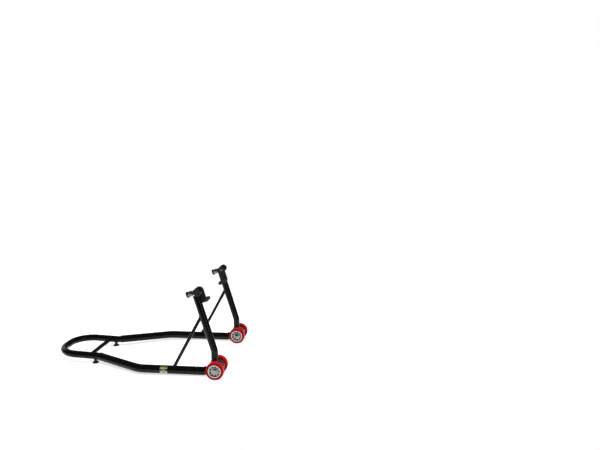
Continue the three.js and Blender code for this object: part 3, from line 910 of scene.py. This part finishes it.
def bracket_shape(side, skin, ease, grooves=False):
    """The L of a bracket grown by a skin: a leg, a real bend and a lip with a round top."""
    half = BRACKET["half"] + skin
    thick = BRACKET["thick"] / 2 + skin
    wall_y = BRACKET["outer"] - BRACKET["thick"] / 2
    leg_z = -BRACKET["leg_drop"] - BRACKET["thick"] / 2
    bend = BRACKET["bend"]
    tip_y = BRACKET["inner"] - skin
    top_z = BRACKET["dz"] + half
    plan = 5 + skin
    rows = []

    def row(y, z, up, width, above=thick):
        """up is the angle from the leg's direction to the lip's."""
        way_n = Vector((0, -side * sin(up), cos(up)))
        centre = Vector((BRACKET["dx"], side * y, z))
        section = rounded_bar(max(width, 0.02), above, thick, ease)
        rows.append([centre + Vector((1, 0, 0)) * x + way_n * n for x, n in section])

    leg_end = wall_y - bend
    for k in range(7):
        s = plan * (1 - cos(pi / 2 * k / 6))
        width = half - plan + sqrt(max(plan ** 2 - (plan - s) ** 2, 0))
        row(tip_y + s, leg_z, 0, width)
    first = tip_y + plan + 2
    count = BRACKET["ribs"]
    depth = BRACKET["rib_depth"] if grooves else 0
    for k in range(count):
        start = first + (leg_end - 3 - first) * k / count
        pitch = (leg_end - 3 - first) / count
        for share, cut in ((0.0, 0), (0.55, 0), (0.65, depth), (0.9, depth)):
            row(start + pitch * share, leg_z, 0, half, thick - cut)
    row(leg_end, leg_z, 0, half)
    for k in range(1, 9):
        up = pi / 2 * k / 8
        row(leg_end + bend * sin(up), leg_z + bend * (1 - cos(up)), up, half)
    row(wall_y, (leg_z + bend + BRACKET["dz"]) / 2, pi / 2, half)
    for k in range(25):
        angle = pi / 2 * k / 24
        z = BRACKET["dz"] + (top_z - BRACKET["dz"]) * sin(angle)
        row(wall_y, z, pi / 2, half * cos(angle))
    return loft(rows)


def leaned(bm, name):
    """Leans a shape made about the arm's axis with the upright, and puts it on the arm."""
    place = Matrix.Translation(arm_point(name)) @ Matrix.Rotation(-UPRIGHT["lean"], 4, "Y")
    bmesh.ops.transform(bm, matrix=place, verts=bm.verts)
    return bm


def pin(radius, start, end, side):
    """A plain cutting pin along the arm's axis, from one distance from the middle plane to another."""
    return cylinder(radius, start, end, Vector(), Vector((0, side, 0)), 72)


def make_bracket(name, side):
    body = f"bracket_{name}"
    plate = cut_from(bracket_shape(side, 0, 1.2), pin(4.4, 150, 220, side))
    piece(f"bracket_bar_{name}", leaned(plate, name), PAINT, body, [f"bracket_plate_{name}"])
    outside = bracket_shape(side, BOOT_WALL, 2.6, grooves=True)
    windows = [pin(11.4, BRACKET["outer"] - 1, 220, side), pin(8.2, 150, BRACKET["outer"] - 1, side)]
    boot = cut_from(outside, bracket_shape(side, GAP, 1.3), *windows)
    piece(f"bracket_sleeve_{name}", leaned(boot, name), RUBBER, body, [f"bracket_boot_{name}"])
    seat = BRACKET["outer"] - BRACKET["thick"] - GAP
    end = 203.8
    bolt = [(0, seat - 1), lambda a: (hex_radius(5, a), seat - 1)]
    bolt += [lambda a: (hex_radius(5, a) + 0.15, seat - 3), (4.3, seat - 3), (4.7, seat - 2.8)]
    bolt += [(6.7, seat - 1.1), (6.8, seat - 0.8), (6.8, seat), (4, seat)]
    bolt += [(4, end - 0.8), (3.2, end), (0, end)]
    shape = turned(bolt, Vector(), Vector((0, side, 0)))
    piece(f"pivot_screw_{name}", leaned(shape, name), ZINC, body, [f"bracket_bolt_{name}"])


def make_arm(name, side):
    """Sliding arm, its welded sleeve and the plug in the sleeve's outer end."""
    out = Vector((0, side, 0))
    at = arm_point(name)
    inner, outer = span(f"arm_rod_{name}")
    rod = [(0, outer), (7.6, outer), (9, outer - 1.4), (9, inner + 0.6), (8.4, inner), (4.4, inner)]
    rod += [(4.4, inner + 18), (0, inner + 19.5)]
    piece(f"arm_bar_{name}", turned(rod, at, out), STEEL, f"arm_{name}", [f"arm_rod_{name}"])
    inner, outer = span(f"arm_sleeve_{name}")
    radius, bore = SLEEVE["radius"], SLEEVE["bore"]
    section = eased([(bore, inner), (radius, inner), (radius, outer), (bore, outer)], 1.0, closed=True)
    hole = cylinder(5.4, 0, 30, *lock_line(name, side), 48)
    shape = cut_from(turned(section, at, out), hole)
    piece(f"arm_tube_{name}", shape, PAINT, replaces=[f"arm_sleeve_{name}"])
    inner, outer = span(f"sleeve_plug_{name}")
    face = inner + 3
    plug = [(0, inner), (7.8, inner), (8.7, inner + 0.9), (8.7, face), (15.4, face), (16, face + 0.5)]
    plug += [(15.9, face + 1.1), (14.6, outer - 0.2), (12.4, outer), (11.8, outer - 0.45), (0, outer - 0.25)]
    piece(f"end_cap_{name}", turned(eased(plug, 0.35), at, out), PLASTIC, replaces=[f"sleeve_plug_{name}"])
    make_saddle(name, side)


def make_saddle(name, side):
    """The weld between the upright's top and the underside of the arm sleeve."""
    surface = BVHTree.FromBMesh(sleeve_bar(name, SLEEVE["radius"]))
    top = upright_route(side)[-1][0]
    rails = circle(top - lean_way() * 60, lean_way(), UPRIGHT_TUBE["radius"], 120)
    hits = [hit for hit in strike(surface, rails, lean_way()) if (hit - top).dot(lean_way()) < 1.5]
    weld(f"weld_saddle_{name}", opened(hits), 2.6, side + 23)


def lock_line(name, side):
    """Where the locking screw's line starts on the arm's axis, and which way it points."""
    return arm_point(name, side * LOCK["y"]), Vector((-cos(LOCK["slope"]), 0, -sin(LOCK["slope"])))


def make_lock(name, side):
    """Welded nut, brass point, knurled zinc screw and its black end cap."""
    at, way = lock_line(name, side)
    flats = LOCK["flats"]
    start = SLEEVE["radius"] + GAP
    end = start + 9
    nut = [(5.4, 10), (flats * 0.5, 10), lambda a: (hex_radius(flats, a), 11), hex_side(flats, end, -1)]
    nut += [(flats * HEX_FACE, end), (6.2, end), (5.4, end - 0.8)]
    shape = cut_from(turned(nut, at, way), sleeve_bar(name, start))
    piece(f"weld_nut_{name}", shape, ZINC, replaces=[f"lock_nut_{name}"])
    sleeve = BVHTree.FromBMesh(sleeve_bar(name, SLEEVE["radius"]))
    seam = strike(sleeve, circle(at + way * 60, way, flats * 0.55, 72), -way)
    weld(f"weld_lock_nut_{name}", seam, 1.6, side + 29)
    tip = eased([(0, 9.3), (4.2, 9.3), (4.2, 11.5), (0, 11.5)], 0.4)
    piece(f"brass_point_{name}", turned(tip, at, way, 64), BRASS, f"lock_point_{name}", [f"lock_tip_{name}"])
    body = f"lock_screw_{name}"
    head, back, end = LOCK["head"], LOCK["back"], LOCK["end"]

    def knurled(radius, height, depth=0.55):
        return lambda angle: (radius - depth * (0.5 + 0.5 * cos(24 * angle)) ** 0.7, height)

    screw = [(0, 11.8), (4.1, 11.8), *thread(4.95, 12.2, head - 0.1, 1.5, 0.8), (5, head), (9, head)]
    screw += [(9.6, head + 0.3), (9.6, head + 2.6), (10.6, head + 3), (11.0, head + 3.3)]
    screw += [knurled(11.6, head + 3.9), knurled(11.6, head + 9.4), (10.7, head + 9.9), (10.7, head + 11.1)]
    screw += [knurled(11.6, head + 11.6), knurled(11.6, back - 1.2), (10.8, back - 0.5), (10.4, back)]
    screw += [(5, back), (5, back + LOCK["stud"]), (0, back + LOCK["stud"])]
    piece(f"lock_bolt_{name}", turned(screw, at, way, 192), ZINC, body, [f"lock_screw_{name}"])
    start = back + GAP
    floor = start + LOCK["stud"]

    def scalloped(radius, height):
        return lambda angle: (radius - 0.7 * max(0, cos(8 * angle)) ** 3, height)

    knob = [(0, floor), (5.4, floor), (5.4, start), (12.4, start), scalloped(13.3, start + 0.2)]
    knob += [scalloped(13.8, start + 0.9), scalloped(13.8, end - 1.7), scalloped(13.2, end - 0.8)]
    knob += [(11.6, end - 0.15), (9.6, end), (8.8, end - 0.5), (0, end - 0.5)]
    piece(f"lock_cap_{name}", turned(knob, at, way, 144), PLASTIC, body, [f"lock_knob_{name}"])


make_frame()
make_label()
make_wheels()
for name, side in SIDES.items():
    make_axle(name, side)
    make_arm(name, side)
    make_bracket(name, side)
    make_lock(name, side)

# ------------------------------------------------------------------ studio

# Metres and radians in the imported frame, but the camera's place, lens and sensor are in millimetres.
FLOOR = {"radius": 0.95, "glow": 0.62}
SUN = {"strength": 2.8, "angle": radians(80), "from": (-0.6, -0.7, 3)}
ROOM = {"strength": 0.1, "colour": (0.92, 0.95, 1.0, 1)}
CAMERA = {
    "yaw": radians(5.863), "pitch": radians(8.118), "roll": radians(-0.889),
    "lens": 33.02, "sensor": 36, "place": (574.48, -2345.69, 940.11),
}


def make_floor():
    """A pale disc under the stand, glowing a little so that it fades into the white backdrop."""
    bm = bmesh.new()
    bm.faces.new([bm.verts.new(point) for point in circle(Vector(), AXIS_Z, FLOOR["radius"], 96)])
    floor = object_of("studio_floor", bm)
    n = Nodes("studio_floor").set(Specular_IOR_Level=0.2, Emission_Color=(1, 1, 1, 1))
    n.set(Emission_Strength=FLOOR["glow"])
    tone = n.mix(n.noise(0.6, 2), (0.84, 0.84, 0.84), (0.87, 0.87, 0.87))
    floor.data.materials.append(n.finish(tone, n.ramp(n.noise(3), 0.5, 0.6)))


def make_light(name, place, aim, size, power):
    lamp = bpy.data.lights.new(name, "AREA")
    lamp.shape = "RECTANGLE"
    lamp.size, lamp.size_y = size
    lamp.energy = power
    hang_light(lamp, place, aim)


def hang_light(lamp, place, aim):
    light = bpy.data.objects.new(lamp.name, lamp)
    light.location = place
    light.rotation_euler = (Vector(aim) - Vector(place)).to_track_quat("-Z", "Y").to_euler()
    bpy.context.scene.collection.objects.link(light)
    return light


def make_studio():
    """A broad sun from above, a panel on the left and a tall strip on the right, in a dim room.

    The world looks white to the camera alone, so that it doesn't light the stand from all around.
    """
    make_floor()
    lamp = bpy.data.lights.new("overhead", "SUN")
    lamp.energy = SUN["strength"]
    lamp.angle = SUN["angle"]
    overhead = hang_light(lamp, SUN["from"], (0, 0, 0))
    overhead.visible_glossy = False
    make_light("panel_left", (-2.3, 1.5, 0.9), (0, 0, 0.2), (2.4, 1.6), 10)
    make_light("strip_right", (2.15, -1.5, 0.68), (0.35, -0.2, 0.68), (0.2, 1.28), 7)
    world = bpy.data.worlds.new("studio")
    world.use_nodes = True
    tree = world.node_tree
    room = tree.nodes["Background"]
    room.inputs["Color"].default_value = ROOM["colour"]
    room.inputs["Strength"].default_value = ROOM["strength"]
    backdrop = tree.nodes.new("ShaderNodeBackground")
    backdrop.inputs["Color"].default_value = (1, 1, 1, 1)
    mix = tree.nodes.new("ShaderNodeMixShader")
    path = tree.nodes.new("ShaderNodeLightPath")
    tree.links.new(path.outputs["Is Camera Ray"], mix.inputs["Fac"])
    tree.links.new(room.outputs[0], mix.inputs[1])
    tree.links.new(backdrop.outputs[0], mix.inputs[2])
    tree.links.new(mix.outputs[0], tree.nodes["World Output"].inputs["Surface"])
    bpy.context.scene.world = world
    bpy.context.scene.view_settings.view_transform = "Standard"


def make_camera():
    """The fitted viewpoint: from the stand's right, ahead of its wheels, and looking a little down."""
    yaw, pitch, roll = CAMERA["yaw"], CAMERA["pitch"], CAMERA["roll"]
    level = Vector((-sin(yaw), cos(yaw), 0))
    right = Vector((cos(yaw), sin(yaw), 0))
    ahead = level * cos(pitch) - AXIS_Z * sin(pitch)
    up = AXIS_Z * cos(pitch) + level * sin(pitch)
    right, up = right * cos(roll) + up * sin(roll), up * cos(roll) - right * sin(roll)
    data = bpy.data.cameras.new("camera")
    data.lens = CAMERA["lens"]
    data.sensor_width = CAMERA["sensor"]
    camera = bpy.data.objects.new("camera", data)
    camera.matrix_world = Matrix((right, up, -ahead)).transposed().to_4x4()
    camera.location = TO_FRAME @ Vector(CAMERA["place"])
    bpy.context.scene.collection.objects.link(camera)
    bpy.context.scene.camera = camera


make_studio()
make_camera()
